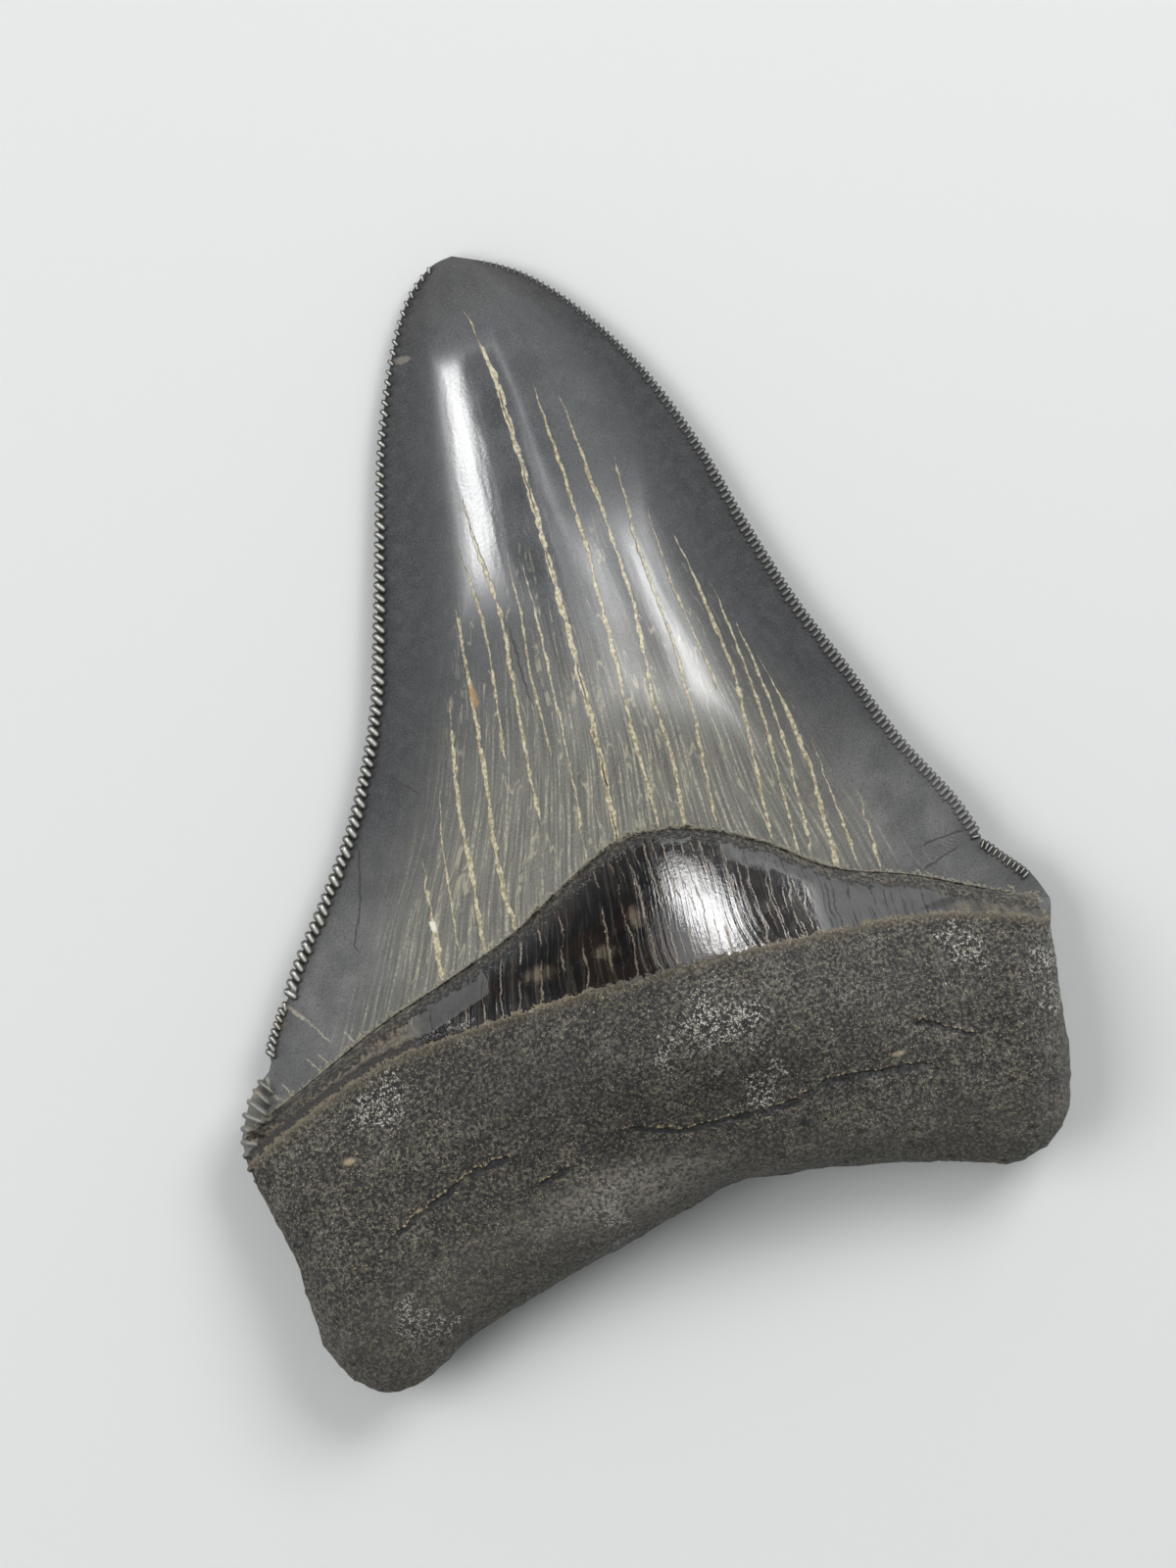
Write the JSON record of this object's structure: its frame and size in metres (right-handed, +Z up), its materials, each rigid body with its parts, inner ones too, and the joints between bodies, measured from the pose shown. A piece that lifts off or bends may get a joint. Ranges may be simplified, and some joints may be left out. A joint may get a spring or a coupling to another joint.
{
  "type": "megalodon tooth",
  "caption": "Fossil shark tooth with a serrated triangular crown, a dark bourlette band and a thick two-lobed root, lying on its flat side.",
  "frame": {"origin": "on the surface the tooth lies on, below the middle of its outline", "axes": "+Y along the tooth towards its tip, +Z up out of the domed lingual face, +X towards the shorter lobe"},
  "size_m": [0.0762, 0.0962, 0.0202],
  "materials": {
    "fossil": "Polished slate-grey enamel with cream feeder cracks, a glossy black-brown bourlette and a charcoal, sandy porous root."
  },
  "bodies": {
    "root": {"tooth": "fossil"}
  },
  "joints": []
}
